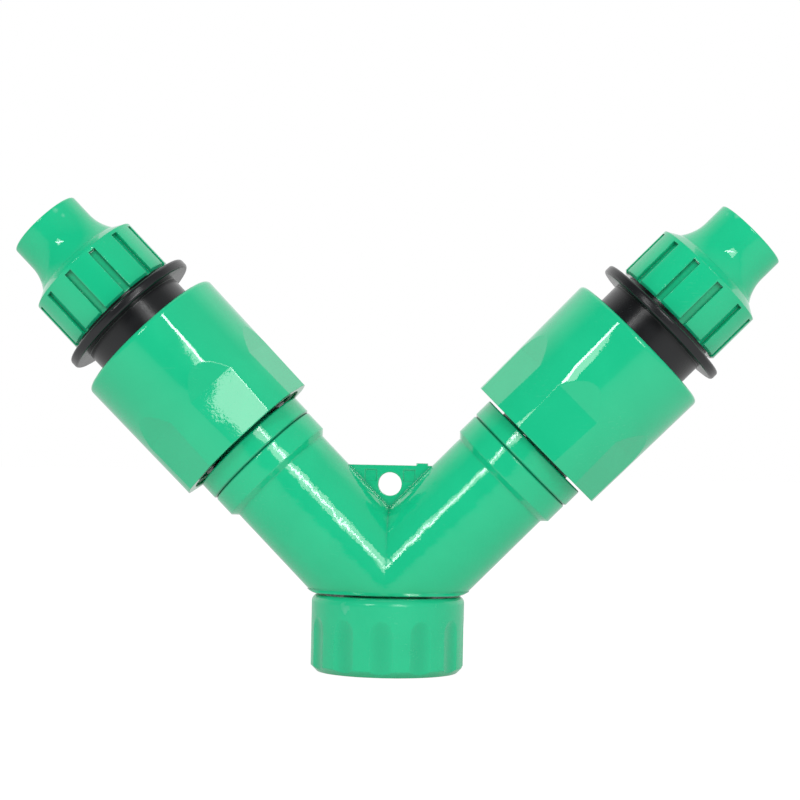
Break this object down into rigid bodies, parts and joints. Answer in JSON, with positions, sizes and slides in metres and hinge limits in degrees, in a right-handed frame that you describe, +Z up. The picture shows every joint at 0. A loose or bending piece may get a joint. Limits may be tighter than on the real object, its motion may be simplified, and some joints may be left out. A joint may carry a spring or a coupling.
{
  "type": "drip irrigation connector",
  "caption": "Forked tap splitter with a threaded swivel inlet, a hanging web in the fork, and a quick-connect hose coupler with a sliding sleeve and a hose nut on each arm.",
  "frame": {"origin": "centre of the swivel nut's lower face, where the connector stands", "axes": "+Z up along the inlet's axis, +X along the spread of the arms, to the picture's right, +Y away from the camera"},
  "size_m": [0.1629, 0.0344, 0.1001],
  "materials": {
    "green_plastic": "glossy sea-green moulded plastic",
    "black_plastic": "satin black moulded plastic",
    "seal_rubber": "matt black seal rubber",
    "claw_acetal": "black acetal"
  },
  "bodies": {
    "root": {"y_body": "green_plastic", "inlet_tailpiece": "green_plastic", "inlet_washer": "seal_rubber", "left_nipple": "green_plastic", "left_o_ring": "seal_rubber", "right_nipple": "green_plastic", "right_o_ring": "seal_rubber"},
    "inlet_nut": {"inlet_nut": "green_plastic"},
    "left_coupler": {"left_coupler_body": "black_plastic", "left_claw_ring": "claw_acetal"},
    "left_sleeve": {"left_sleeve": "green_plastic"},
    "left_hose_nut": {"left_hose_nut": "green_plastic"},
    "right_coupler": {"right_coupler_body": "black_plastic", "right_claw_ring": "claw_acetal"},
    "right_sleeve": {"right_sleeve": "green_plastic"},
    "right_hose_nut": {"right_hose_nut": "green_plastic"}
  },
  "joints": [
    {"name": "inlet_swivel", "type": "hinge", "parent": "root", "child": "inlet_nut", "pos_m": [0, 0, 0.015], "axis": [0, 0, 1], "continuous": true},
    {"name": "left_coupler_swivel", "type": "hinge", "parent": "root", "child": "left_coupler", "pos_m": [-0.04206, 0, 0.06019], "axis": [-0.7009, 0, 0.7133], "continuous": true},
    {"name": "left_sleeve_slide", "type": "slide", "parent": "left_coupler", "child": "left_sleeve", "axis": [-0.7009, 0, 0.7133], "range_m": [0, 0.0048], "stiffness_N_per_m": 1000, "springref_m": -0.002},
    {"name": "left_hose_nut_turn", "type": "hinge", "parent": "left_coupler", "child": "left_hose_nut", "pos_m": [-0.06308, 0, 0.08159], "axis": [-0.7009, 0, 0.7133], "continuous": true},
    {"name": "right_coupler_swivel", "type": "hinge", "parent": "root", "child": "right_coupler", "pos_m": [0.04206, 0, 0.06019], "axis": [0.7009, 0, 0.7133], "continuous": true},
    {"name": "right_sleeve_slide", "type": "slide", "parent": "right_coupler", "child": "right_sleeve", "axis": [0.7009, 0, 0.7133], "range_m": [0, 0.0048], "stiffness_N_per_m": 1000, "springref_m": -0.002},
    {"name": "right_hose_nut_turn", "type": "hinge", "parent": "right_coupler", "child": "right_hose_nut", "pos_m": [0.06308, 0, 0.08159], "axis": [0.7009, 0, 0.7133], "continuous": true}
  ]
}
